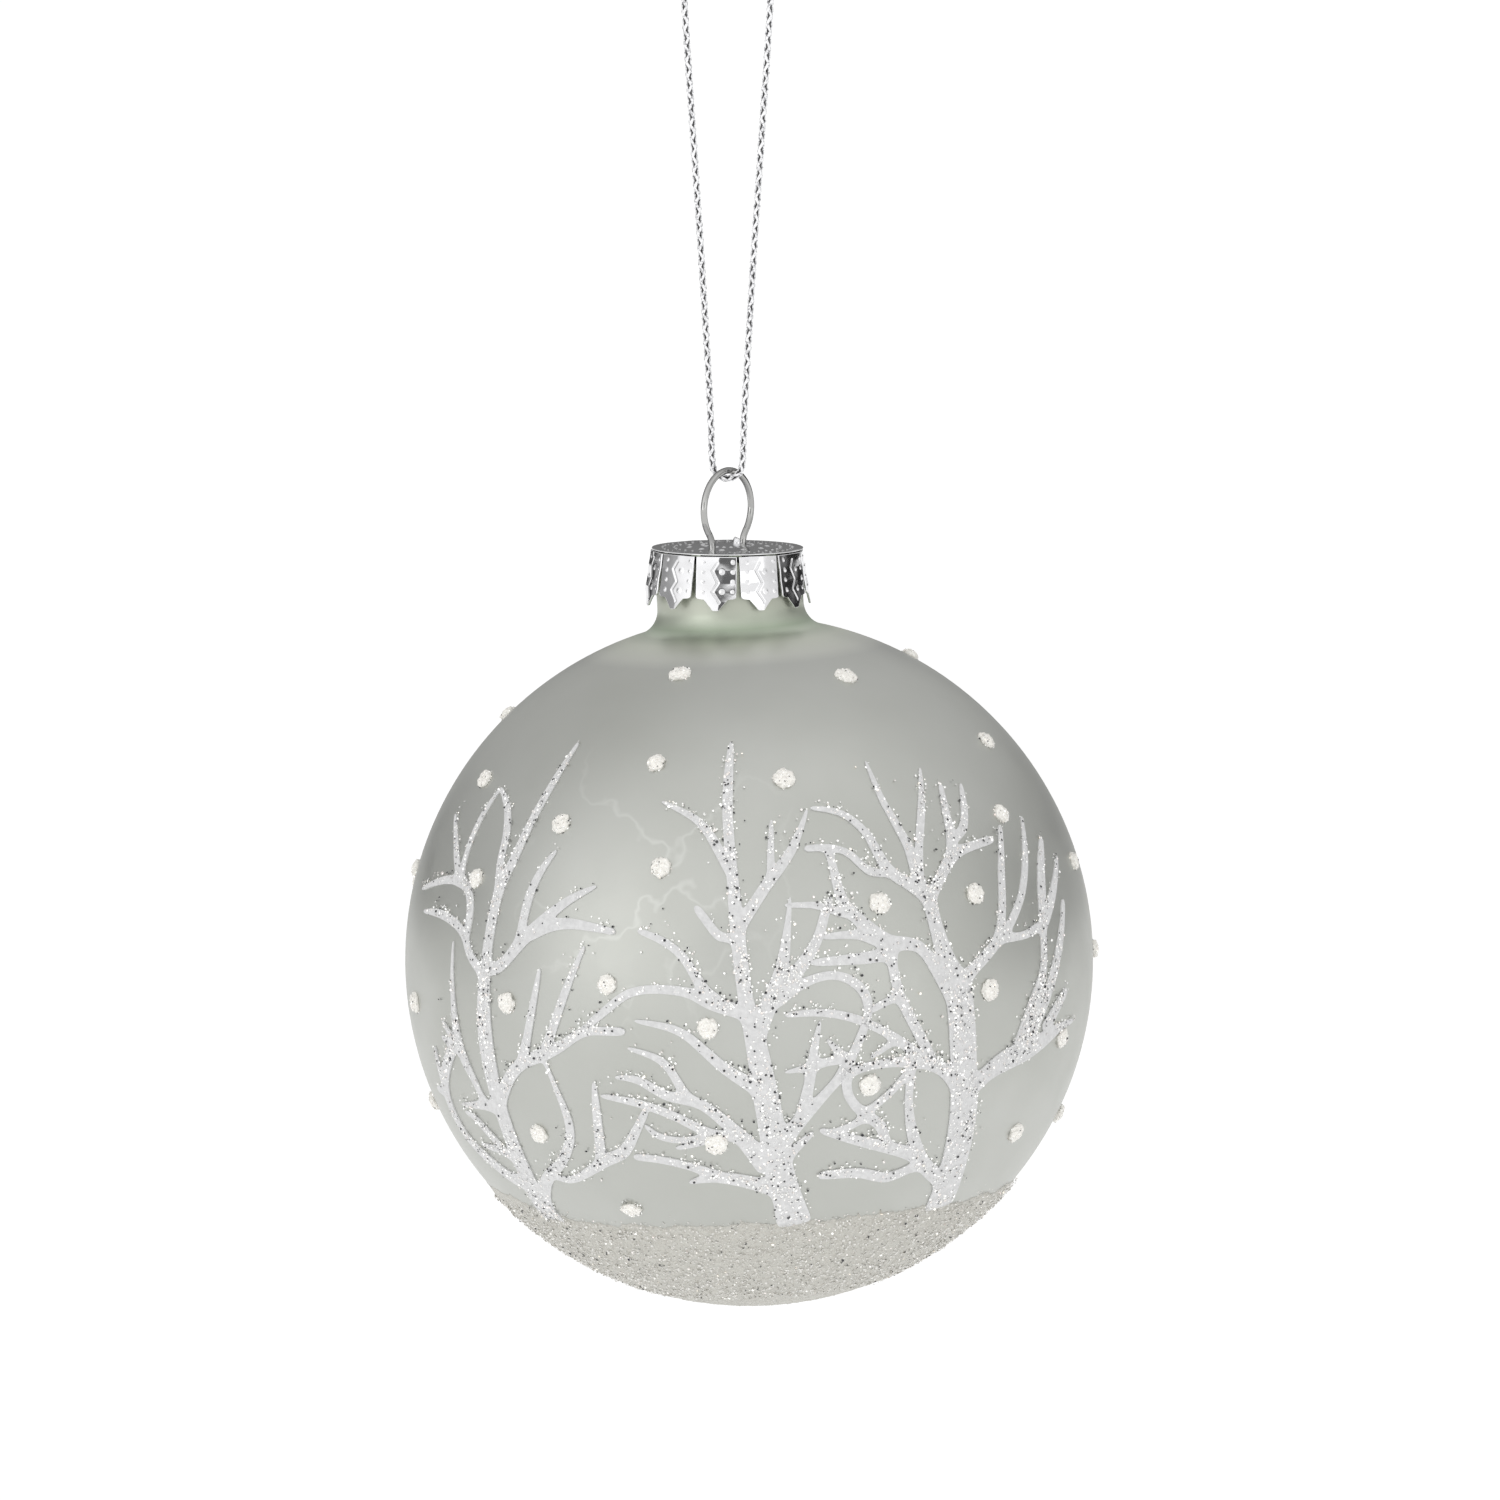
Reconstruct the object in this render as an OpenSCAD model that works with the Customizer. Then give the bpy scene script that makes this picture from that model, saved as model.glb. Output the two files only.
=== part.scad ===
// Glass ball ornament: a hollow blown ball with a printed winter forest,
// a stamped crown cap, a spring wire hanger and a loop of braided cord.
// The origin is the inside top of the cord loop, where the ornament hangs.
// Millimetres, +Z up, -Y is the side that faces the viewer.

/* [Ball] */
// Outer diameter of the glass ball
ball_d = 80; // [70:1:90]
// Wall thickness of the glass
glass_t = 0.8; // [0.6:0.1:1]
// Lean of the ball on its cap, in degrees
ball_lean = 3; // [0:0.5:4]

/* [Neck] */
// Outer diameter of the glass neck at its foot
neck_d = 17; // [16:0.5:17]
// Radius of the curve between the neck and the ball
neck_fillet = 3; // [2:0.5:4]

/* [Cap] */
// Diameter of the flat top of the cap
cap_d = 17.6; // [17.4:0.1:18.5]
// Sheet thickness of the cap
cap_t = 0.25; // [0.2:0.05:0.35]
// Number of tabs round the cap
tab_count = 11; // [10:1:12]
// Height of a tab down to its shoulders
tab_h = 4.9; // [4.5:0.1:6]
// Outward lean of the tabs, in degrees
tab_flare = 8; // [4:1:12]

/* [Hanger wire] */
// Wire diameter
wire_d = 0.75; // [0.6:0.05:0.9]
// Outer diameter of the ring
ring_d = 9.6; // [9:0.1:10]
// Turn of the ring about the vertical, in degrees
ring_turn = 52; // [30:1:60]
// Length of the spring legs below the cap
leg_h = 24; // [18:1:26]

/* [Cord] */
// Diameter of the braided cord
cord_d = 0.85; // [0.7:0.05:0.95]

/* [Decoration] */
// Thickness of the printed paint above the glass
paint_t = 0.2; // [0.15:0.05:0.3]
// Thickness of the glittered snow coat
snow_t = 0.4; // [0.3:0.05:0.6]
// Latitude of the top edge of the snow coat
snow_lat = 42; // [38:1:46]
// Height of a snow dot above the glass
dot_h = 0.7; // [0.5:0.1:0.9]

/* [Hidden] */

ball_r = ball_d / 2;
inner_r = ball_r - glass_t;
neck_r = neck_d / 2;
lip_drop = 0.7;                       // gap along the neck between the lip and the cap
ring_r = (ring_d - wire_d) / 2;       // to the middle of the wire
ring_top_z = -78;                     // outer top of the ring
ring_z = ring_top_z - ring_d / 2;     // middle of the ring
cap_top_z = ring_top_z - 9.3;         // upper face of the cap
seat_z = cap_top_z - cap_t;           // under face of the cap, where the ball turns
ball_drop = 48;                       // seat to the middle of the ball, along the neck
leg_gap = 2.9;                        // wire legs from the cap's middle
leg_spread = 5.6;                     // legs at their lower ends
leg_bend_z = seat_z - 4;              // the legs are straight down to here

// Hand-chosen route of the cord, [x, z]: down one strand, round under the ring,
// up the other strand and over the top of the loop to the knot.
cord_route = [[5.7, -14.2], [5.3, -19], [4.6, -30], [3.8, -42], [3, -54], [2.4, -64], [2, -71],
              [1.85, -75], [1.75, -77.4], [1.5, -78.45], [0.9, -79.05], [0, -79.3],
              [-0.9, -79.05], [-1.5, -78.45], [-1.75, -77.4], [-1.85, -75], [-2, -71],
              [-2.4, -64], [-3, -54], [-3.8, -42], [-4.6, -30], [-5.3, -19], [-5.9, -11],
              [-6.2, -5.8], [-5.4, -2.7], [-3.1, -0.4], [0, 0.43], [3.1, -0.4], [5.4, -2.7],
              [6.2, -5.8], [6.1, -9], [5.9, -11.8]];
knot_at = [5.8, 0, -13];

// Strokes of the printed trees. A stroke is a list of [longitude, latitude, width]:
// degrees from the front of the ball and from its equator, and millimetres.
left_strokes = [
    // trunk and its two top branches
    [[-54, -43, 4.2], [-53, -36, 3.2], [-51.5, -30, 2.7], [-50.5, -20, 2.3], [-50.2, -8, 2.5],
     [-49.6, 0, 2.2], [-49, 5, 1.7], [-48, 15, 1.5], [-47.3, 20, 1.7]],
    [[-47.3, 19.5, 1.5], [-45.4, 24, 1.3], [-43.8, 30.5, 1.1], [-42, 37.5, 1], [-40.3, 46, 0.4]],
    [[-47.8, 19, 1.3], [-49, 24, 1.1], [-49.3, 27.5, 1.1], [-52, 32.5, 1], [-57.5, 36, 0.4]],
    [[-57.5, 36, 0.4], [-59.4, 31, 0.9], [-60, 26, 0.9], [-59.8, 20, 1]],
    // upper branches on the left
    [[-49.5, 4.5, 1.4], [-53, 7, 1.1], [-54.7, 10, 1.2], [-54.3, 14, 1.2], [-56, 18, 1.2],
     [-60.8, 20.5, 1.2], [-66, 26, 0.9], [-72, 30.3, 0.4]],
    [[-57, 18.5, 1.2], [-62, 19.3, 1.1], [-69, 18.2, 0.8], [-76.3, 16.3, 0.4]],
    [[-54.5, 10, 1.1], [-58.5, 12.3, 1.1], [-65, 13.4, 1], [-72.6, 13, 0.4]],
    // upper branches on the right
    [[-49.5, 5, 1.4], [-45.5, 5.8, 1.4], [-41.5, 9.6, 1.4], [-40.8, 13, 1.2], [-40, 18, 1.2],
     [-38, 22.7, 0.9], [-35.5, 26, 0.4]],
    [[-42, 9, 1.6], [-37.5, 13, 1.4], [-31.5, 17.3, 1], [-26, 19.8, 0.4]],
    [[-39, 11.3, 1.5], [-35, 13, 1.5], [-30, 13.4, 1.2], [-22, 12, 0.7]],
    // the long branch to the right and its twigs
    [[-50, -17.5, 1.8], [-46, -13, 1.5], [-42, -10, 1.5], [-37, -8.4, 1.5], [-32, -6.2, 1.2],
     [-27, -2.9, 0.7]],
    [[-41.8, -9.5, 1.6], [-40, -5.5, 1.1], [-38, 0.5, 0.9], [-36.5, 6.3, 0.4]],
    [[-37, -8.4, 1.4], [-34.4, -3.8, 1.1], [-31.5, 2.4, 1], [-27.8, 10, 0.4]],
    [[-31, -5.5, 0.9], [-27.5, -4.1, 1], [-20.8, -4.3, 1]],
    // low branches on the right
    [[-52, -38, 2.2], [-48.5, -34.3, 1.8], [-44, -30.8, 1.4], [-40, -28.5, 1.3], [-36, -24.3, 1.2],
     [-34.7, -20, 1.1], [-35.5, -15, 0.7], [-37, -9.5, 0.4]],
    [[-44, -31, 0.9], [-40, -32.1, 0.9], [-35, -30.4, 1.1], [-29, -27.4, 1.5], [-25, -25.8, 1.5],
     [-21.7, -21.8, 1.1], [-18.8, -17.5, 0.8]],
    [[-30.5, -28, 1.4], [-29.2, -23, 1.2], [-28.3, -17, 1], [-27.8, -12.6, 0.4]],
    // low branches on the left
    [[-52.5, -33.5, 2.4], [-57.5, -33, 2.1], [-63, -29.5, 1.9], [-68, -25.5, 1.9], [-69.3, -20, 1.9],
     [-67.5, -15, 1.8], [-62, -10, 1.6], [-59, -7.5, 1.2]],
    [[-68.5, -15.5, 1.3], [-68.3, -12, 1], [-67.8, -8.7, 0.4]],
    [[-69, -17, 1.4], [-73.6, -17.2, 0.8]],
    [[-50.7, -18.7, 1.8], [-55, -18.3, 1.2], [-63.8, -18.9, 0.4]],
    [[-54.5, -18, 0.9], [-56, -13.5, 1.2], [-58.2, -8.5, 1.8], [-58.4, -2, 1], [-58.5, 9.7, 0.3]],
    [[-58.8, -8.5, 1.2], [-60.8, -6.2, 1], [-63.2, -4, 0.5]],
    [[-58.8, -8.8, 1.2], [-64.3, -6.9, 0.6]],
    [[-51.5, -29.5, 1.6], [-55, -27, 1.3], [-62.8, -26.3, 0.5]],
    [[-54.5, -27, 1.3], [-57.5, -23.5, 1.3], [-60.5, -20.7, 1], [-63.3, -20.3, 0.5]],
];
middle_strokes = [
    // trunk
    [[7.5, -43, 4.2], [5.5, -36, 3.4], [3.8, -29, 3.2], [2.4, -19, 3], [1.2, -10, 2.6],
     [0.3, -4, 2.2], [-0.6, 1, 1.7], [-1.3, 11, 1.7], [-1.8, 21, 1.3], [-2.3, 31, 1.2],
     [-1.9, 39, 1.1], [-1, 46, 0.5]],
    // branches on the left, from the top
    [[-2.2, 21.5, 1.2], [-4, 25.2, 1.2], [-8, 30.8, 0.9], [-16, 34.5, 0.4]],
    [[-1.5, 10.7, 1.2], [-4.4, 10.7, 1.1], [-8.5, 16.3, 0.9]],
    [[-5, 0.3, 1.6], [-7.3, 2.3, 1.3], [-10.3, 7.6, 1], [-14, 10.6, 0.9], [-18.6, 12.4, 0.6]],
    [[0, -2, 1.6], [-6.5, 0.2, 1.6], [-9.5, 1.9, 1.2], [-15, 2.7, 1], [-20, 2.1, 1],
     [-24, -0.6, 1], [-28, -3.5, 0.8]],
    [[0.5, -14.5, 1.8], [-4.8, -10.8, 1.3], [-9.5, -6, 1.1], [-13.2, -3.7, 0.9], [-19.7, -2.4, 0.4]],
    [[2, -30, 2.6], [-1, -25.5, 2.2], [-4.8, -21, 1.5], [-9.3, -16.8, 1.3], [-15, -15.4, 1.2],
     [-19.5, -12.5, 1], [-24, -12, 0.4]],
    [[-11.5, -15.8, 1.2], [-13, -12.5, 1], [-15.3, -9, 0.9], [-21.3, -6.9, 0.4]],
    [[-2.5, -23, 1.6], [-8, -22.5, 1.2], [-14, -19, 1.1], [-20.5, -16.5, 1], [-27.5, -15.2, 0.5]],
    [[-7, -22.8, 1.2], [-13, -23.6, 0.8], [-17.8, -22.7, 0.8], [-20, -20.2, 0.5]],
    [[-7, -23.2, 0.9], [-11.5, -24.4, 0.8], [-15.2, -25.2, 0.5]],
    [[4, -34.5, 2.4], [-1, -32.7, 1.9], [-8, -31.1, 1.5], [-14, -32.2, 0.4]],
    [[-7, -31.2, 1.5], [-12, -29, 1.1], [-18, -27.3, 1], [-23.5, -26.7, 0.9]],
    // branches on the right, from the top
    [[-1.2, 12, 1.4], [4, 19, 1.3], [9, 24.5, 1.1], [13.2, 31.8, 0.3]],
    [[4.8, 19.5, 0.9], [5.3, 25, 0.8], [6, 30.5, 0.4]],
    [[0.7, -6.5, 2], [2.7, -1.5, 2], [5.3, 4, 1.7], [6.7, 10, 1], [8, 17.3, 0.3]],
    [[4, 1, 1.9], [8, 4.4, 1.6], [11.8, 9.3, 1.2], [13.5, 13.5, 1.1], [15, 16.5, 0.8]],
    [[4, -0.3, 1.8], [9, 2.6, 1.1], [14, 3.6, 1], [18, 1.8, 1.1], [19.8, -1.5, 1.1],
     [19, -5.5, 1], [16.1, -11.6, 1.2]],
    [[4, -26, 2], [6.8, -22, 1.8], [12.5, -16, 1.1], [15, -13.2, 1.3], [16.3, -10.5, 1.2]],
    [[7.8, -21, 1.5], [9.5, -14, 1.2], [10.3, -8.5, 1], [11.6, -3.5, 0.3]],
    [[16.9, -10.4, 1.1], [12.5, -10.8, 1], [5, -12.2, 0.4]],
    [[15.9, -10.7, 1.1], [12.3, -6.8, 0.5]],
    [[4.5, -29, 1.4], [7.3, -25.7, 1.1], [10.5, -23, 0.6]],
];
right_strokes = [
    // trunk and its top
    [[44, -43, 4.2], [42, -34, 4], [40.2, -23, 4], [38.3, -14, 3.8], [37.2, -5, 3.8],
     [36.5, -0.5, 3.5], [34.7, 3.8, 2.5], [33.4, 9.5, 1.8], [32.8, 15.3, 1.8]],
    [[32.8, 14.5, 1.5], [31.5, 18.5, 1.5], [31.2, 23.5, 1.2], [28.7, 32, 0.8], [28.3, 40, 0.3]],
    [[31.8, 18, 1.2], [33.5, 23.5, 1], [36.3, 29, 1], [40.8, 37.2, 0.3]],
    [[33, 14.3, 1.6], [35.8, 17.2, 1.3], [39.8, 20.8, 1.5], [44, 21.8, 1.1], [51.5, 22.5, 1]],
    [[39.5, 20.5, 1.5], [41.2, 24.3, 1.3], [42, 28.5, 1], [43.9, 34, 0.5]],
    [[41, 23.6, 1.2], [44.5, 25, 1.1], [47, 28.7, 1], [49.3, 33.2, 0.4]],
    [[33, 14.3, 1.6], [29.3, 17.3, 1.4], [25.7, 20.3, 1.4], [23.7, 26.3, 1], [19.5, 30.5, 0.8],
     [13.3, 31.8, 0.5]],
    [[26.5, 19.5, 1], [22.5, 19.8, 0.9], [19.5, 23.3, 0.9], [16, 24.6, 0.8], [11.2, 24.7, 0.8]],
    // knot of branches on the left
    [[36, -3, 2.2], [33, 2, 1.7], [29.5, 7, 1.4], [24, 7.8, 1.8], [19, 9.8, 1.1], [12.2, 9.8, 0.6]],
    [[25, 7.5, 1.6], [21, 10.5, 1.6], [17, 15, 1.4], [16.2, 20, 1], [15.8, 24.5, 0.8]],
    [[17.5, 13.2, 1.1], [12, 15.2, 0.8], [6.5, 15.5, 0.5]],
    [[25.5, 6.3, 1.6], [20, 5.8, 1.4], [10, 5.8, 0.8]],
    [[31.7, -12.8, 1.4], [28.8, -7.5, 1.3], [25.3, -0.8, 1.2], [24.3, 6, 1.2]],
    [[25.5, -0.7, 0.9], [19.5, -3, 0.8]],
    [[30.5, -12.8, 1.4], [25, -8.2, 1.1], [18, -4.1, 1], [11.5, -2.4, 0.9], [5.3, -2.5, 0.6]],
    [[38, -17.5, 2.4], [33.8, -14.1, 1.6], [28, -12.2, 1.4], [21, -12, 1], [16, -13, 1.1]],
    [[25, -8, 0.8], [19.8, -10.9, 0.6]],
    [[28, -13, 1.1], [24.5, -16.8, 0.9], [19.5, -20.6, 1]],
    [[15.7, -12, 1.3], [16.2, -17, 1.1], [19.5, -20.8, 1.2], [22.7, -23, 1.3], [24.7, -28, 1.2]],
    [[27.8, -12.5, 1.1], [27.6, -19, 1], [29.5, -25.5, 1.4], [33, -31.2, 1.7]],
    // low branches on the left
    [[41, -36.5, 2.2], [36, -33.7, 1.9], [31, -29.8, 1.7], [24, -27.3, 1.5], [17, -25, 1.2],
     [11, -22.8, 0.7]],
    [[13.5, -23.5, 0.8], [16.8, -22.8, 0.9], [20, -21, 1]],
    [[35, -32.5, 1.4], [31, -32.4, 1.3], [26, -34, 1.4], [20, -32.1, 1.4], [11.2, -32, 1.2]],
    // upper branches on the right
    [[36.8, -1.5, 2.2], [40, 1.9, 1.5], [45.5, 5.3, 1.4], [48.2, 10, 1.2], [50.5, 17, 1.1],
     [54.8, 24.8, 0.6]],
    [[48, 6.7, 1.2], [53.8, 11.8, 1.1], [58, 17.5, 1.1], [63, 25.3, 0.4]],
    [[46.5, 6, 1.1], [53, 5.8, 0.9], [59, 6.9, 1.2]],
    // the big low branch on the right
    [[39.5, -19.5, 2.6], [43.5, -16.5, 2.2], [48, -14.5, 2.8], [54, -13.5, 2.6], [60, -12, 2],
     [65, -10.9, 1], [70.8, -10.6, 0.5]],
    [[51.5, -12.8, 2.6], [54.6, -6, 2.2], [57.6, -1, 1.4], [58.5, 4, 1.2], [60, 10.5, 1.7],
     [63, 16.5, 1.5], [67, 20.8, 0.8]],
    [[59.2, 6.9, 1.7], [64, 11, 1.5], [71.3, 17.4, 0.5]],
    [[54.5, -10.5, 2.2], [60, -3, 1.8], [64, 3, 1.4], [68.1, 10, 0.8]],
    [[58.5, -11, 2.2], [62, -7.7, 1.7], [66.2, -4.7, 1]],
];
// Snow dots, [longitude, latitude, diameter]
dots = [[-19.3, 62.7, 2.5], [38.5, 58.7, 2.5], [-66, 37, 2.2], [68, 39.3, 2.2], [-18, 41.7, 2.2],
        [9.5, 37.5, 2.5], [-36.3, 30.3, 2.3], [56.5, 26.3, 2.2], [80, 15, 2.1], [-14.5, 22.7, 2.3],
        [-54.5, 20, 2.2], [23.5, 14.5, 2.5], [42.8, 14, 2.4], [-23.8, 3.5, 2.3], [-44, 0, 2.4],
        [43.5, -2, 2.5], [-7, -4, 2.4], [-75.5, -2.5, 2.4], [20, -15.5, 2.5], [-42.5, -22.8, 2.3],
        [-7.3, -24.5, 2.6], [-28, -38, 2.5], [58, -29, 2.3], [66, -13, 2.3]];
// Dots out at the sides, which the back of the ball doesn't repeat
side_dots = [[-97.5, 48.1, 2], [101.8, 58.4, 2], [-92, 18.3, 2], [90.2, -1.2, 2],
             [86.4, -29.2, 2.2], [-87, -21, 2.2]];
back_turn = 180;                      // the same picture is printed front and back

function on_ball(lon, lat, r) = r * [cos(lat) * sin(lon), -cos(lat) * cos(lon), sin(lat)];
function unit(v) = v / norm(v);

// Catmull-Rom curve through a list of points, with n steps between two points
function blend(a, b, c, d, t) =
    0.5 * (2 * b + (c - a) * t + (2 * a - 5 * b + 4 * c - d) * t * t
           + (3 * b - a - 3 * c + d) * t * t * t);
function smooth(p, n) = let (last = len(p) - 1) [
    for (i = [0 : last - 1]) for (k = [0 : n - 1])
        blend(i > 0 ? p[i - 1] : 2 * p[0] - p[1], p[i], p[i + 1],
              i + 2 <= last ? p[i + 2] : 2 * p[last] - p[last - 1], k / n),
    p[last]];

// Placement of the ball: its neck axis leans at the seat under the cap
module on_neck() {
    translate([0, 0, seat_z]) rotate([0, -ball_lean, 0]) children();
}
module at_ball_middle() {
    on_neck() translate([0, 0, -ball_drop]) children();
}

// Half outline of the ball and neck, from the bottom pole up: a round body, the curve
// at the neck's foot and the straight neck
function ball_outline(r, nr, fillet) =
    let (centre_x = nr + fillet,
         centre_z = sqrt((r + fillet) * (r + fillet) - centre_x * centre_x),
         touch = atan2(centre_z, centre_x),
         body_steps = 80,
         fillet_steps = 12)
    concat([for (i = [0 : body_steps]) let (a = -90 + (touch + 90) * i / body_steps)
                [r * cos(a), r * sin(a)]],
           [for (i = [fillet_steps - 1 : -1 : 0]) let (a = 180 + touch * i / fillet_steps)
                [centre_x + fillet * cos(a), centre_z + fillet * sin(a)]],
           [[nr, ball_drop - lip_drop]]);
function reversed(p) = [for (i = [len(p) - 1 : -1 : 0]) p[i]];
module glass_ball() {
    color([0.7, 0.71, 0.66]) at_ball_middle() rotate_extrude($fn = 180)
        polygon(concat(ball_outline(ball_r, neck_r, neck_fillet),
                       reversed(ball_outline(inner_r, neck_r - glass_t, neck_fillet + glass_t))));
}

module snow_base() {
    snow_r = ball_r + snow_t;
    edge_z = -snow_r * sin(snow_lat);
    color([0.8, 0.79, 0.76]) at_ball_middle() rotate_extrude($fn = 180) intersection() {
        difference() {
            circle(r = snow_r, $fn = 180);
            circle(r = ball_r, $fn = 180);
        }
        translate([0, -snow_r - 1]) square([snow_r + 1, snow_r + 1 + edge_z]);
    }
}

// One printed stroke: a chain of flat wedges on the ball, each from one crossbar to the next
function crossbar(p, before, after, low, high) =
    let (mid = on_ball(p[0], p[1], 1),
         along = unit(on_ball(after[0], after[1], 1) - on_ball(before[0], before[1], 1)),
         side = unit(cross(mid, along)) * p[2] / 2)
    [mid * low - side, mid * low + side, mid * high + side, mid * high - side];
module stroke(points, steps) {
    path = smooth(points, steps);
    last = len(path) - 1;
    bars = [for (i = [0 : last])
        crossbar(path[i], path[max(i - 1, 0)], path[min(i + 1, last)],
                 ball_r - paint_t, ball_r + paint_t)];
    for (i = [0 : last - 1]) hull()
        polyhedron(points = concat(bars[i], bars[i + 1]),
                   faces = [[0, 1, 2, 3], [7, 6, 5, 4], [0, 4, 5, 1], [1, 5, 6, 2],
                            [2, 6, 7, 3], [3, 7, 4, 0]]);
}
module tree(strokes, turn) {
    color([0.88, 0.88, 0.89]) at_ball_middle() rotate([0, 0, turn])
        union() for (s = strokes) stroke(s, len(s) < 4 ? 1 : 2);
}
module tree_front_left() { tree(left_strokes, 0); }
module tree_front_middle() { tree(middle_strokes, 0); }
module tree_front_right() { tree(right_strokes, 0); }
module tree_back_left() { tree(left_strokes, back_turn); }
module tree_back_middle() { tree(middle_strokes, back_turn); }
module tree_back_right() { tree(right_strokes, back_turn); }

module dot(lon, lat, d) {
    foot = ball_r - 0.15;
    rotate([0, 90 - lat, lon - 90]) translate([0, 0, foot]) {
        cylinder(d = d, h = 0.35, $fn = 32);
        translate([0, 0, 0.35]) cylinder(d1 = d, d2 = d * 0.5, h = dot_h - 0.2, $fn = 32);
    }
}
module snow_dots() {
    color([0.93, 0.92, 0.88]) at_ball_middle() {
        for (turn = [0, back_turn]) for (p = dots) dot(p[0] + turn, p[1], p[2]);
        for (p = side_dots) dot(p[0], p[1], p[2]);
    }
}

// Flat outline of a tab: shoulders and one pointed tooth, measured down from the cap's edge
module tab_outline() {
    half = cap_d / 2 * tan(180 / tab_count) - 0.2;
    tooth = 1.4;
    polygon([[-half, 0], [half, 0], [half + 0.05, tab_h - 0.3], [half - 0.25, tab_h],
             [1.3, tab_h + 0.05], [0.35, tab_h + tooth], [-0.35, tab_h + tooth],
             [-1.3, tab_h + 0.05], [-half + 0.25, tab_h], [-half - 0.05, tab_h - 0.3]]);
}
module cap_crown() {
    tab_turn = 8 + 180 / tab_count;
    stub_h = 1.2;
    color([0.85, 0.85, 0.87]) translate([0, 0, cap_top_z]) difference() {
        union() {
            translate([0, 0, -cap_t]) cylinder(d = cap_d, h = cap_t, $fn = 96);
            for (i = [0 : tab_count - 1])
                rotate([0, 0, tab_turn + i * 360 / tab_count])
                    translate([0, -cap_d / 2 + cap_t, 0]) rotate([-90 - tab_flare, 0, 0])
                        translate([0, 0, -cap_t]) linear_extrude(cap_t) tab_outline();
            translate([1.1, 0.5, -cap_t]) cylinder(d1 = 1, d2 = 0.7, h = cap_t + stub_h, $fn = 24);
        }
        for (side = [-1, 1]) rotate([0, 0, ring_turn]) translate([side * leg_gap, 0, -cap_t - 1])
            cylinder(d = wire_d + 0.5, h = cap_t + 2, $fn = 32);
    }
}

// A round tube swept along a path that lies in one upright plane, [x, z]
module tube(path, d, sides) {
    last = len(path) - 1;
    rings = [for (i = [0 : last])
        let (along = unit(path[min(i + 1, last)] - path[max(i - 1, 0)]),
             out = [along[1], 0, -along[0]])
        for (k = [0 : sides - 1])
            [path[i][0], 0, path[i][1]]
            + d / 2 * (cos(k * 360 / sides) * out + sin(k * 360 / sides) * [0, 1, 0])];
    skin = [for (i = [0 : last - 1]) for (k = [0 : sides - 1])
        let (a = i * sides + k, b = i * sides + (k + 1) % sides)
        [a, b, b + sides, a + sides]];
    polyhedron(points = rings,
               faces = concat([[for (k = [sides - 1 : -1 : 0]) k]], skin,
                              [[for (k = [0 : sides - 1]) last * sides + k]]));
}

// Spring legs below, a round ring above, bent from one length of wire
module hanger_wire() {
    foot_z = seat_z - leg_h;
    arc_end = 40;                     // the ring stops this far below its sides
    straight_z = cap_top_z + 0.6;
    leg = [[leg_spread, foot_z], [leg_spread * 0.75 + leg_gap * 0.25, foot_z + leg_h * 0.25],
           [leg_gap * 0.75 + leg_spread * 0.25, leg_bend_z - leg_h * 0.2],
           [leg_gap, leg_bend_z], [leg_gap, straight_z]];
    ring = [for (a = [-arc_end : 10 : 180 + arc_end])
        [ring_r * cos(a), ring_z + ring_r * sin(a)]];
    route = concat(leg, ring, [for (p = reversed(leg)) [-p[0], p[1]]]);
    color([0.72, 0.72, 0.7]) rotate([0, 0, ring_turn]) tube(route, wire_d, 12);
}

module hanging_cord() {
    color([0.88, 0.88, 0.9]) tube(smooth(cord_route, 2), cord_d, 8);
}
module cord_knot() {
    tail = 5;
    color([0.88, 0.88, 0.9]) translate(knot_at) union() {
        sphere(d = 2.6, $fn = 12);
        for (lean = [35, 75]) rotate([0, lean, 0]) cylinder(d = cord_d, h = tail, $fn = 16);
    }
}

glass_ball();
cap_crown();
hanger_wire();
hanging_cord();
cord_knot();
snow_base();
tree_front_left();
tree_front_middle();
tree_front_right();
tree_back_left();
tree_back_middle();
tree_back_right();
snow_dots();
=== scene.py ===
"""Looks of the glass ball ornament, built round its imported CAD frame. Lengths are in metres."""
import math
import random

import bmesh
import bpy
from mathutils import Matrix, Vector, noise


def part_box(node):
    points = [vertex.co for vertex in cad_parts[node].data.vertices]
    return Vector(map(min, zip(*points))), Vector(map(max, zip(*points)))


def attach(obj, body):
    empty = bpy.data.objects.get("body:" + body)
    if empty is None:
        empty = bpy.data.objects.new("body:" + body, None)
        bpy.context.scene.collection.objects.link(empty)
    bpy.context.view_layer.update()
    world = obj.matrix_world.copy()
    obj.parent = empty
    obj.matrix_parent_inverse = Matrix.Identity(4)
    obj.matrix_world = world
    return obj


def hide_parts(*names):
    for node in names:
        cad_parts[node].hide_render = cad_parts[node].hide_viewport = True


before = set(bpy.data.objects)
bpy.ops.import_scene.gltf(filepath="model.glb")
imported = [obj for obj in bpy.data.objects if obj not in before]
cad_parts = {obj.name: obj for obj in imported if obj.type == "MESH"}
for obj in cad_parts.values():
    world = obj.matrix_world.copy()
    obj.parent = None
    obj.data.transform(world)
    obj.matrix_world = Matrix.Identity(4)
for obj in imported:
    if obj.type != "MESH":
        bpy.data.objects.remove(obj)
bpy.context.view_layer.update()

MM = 0.001
UP = Vector((0, 0, 1))

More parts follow.
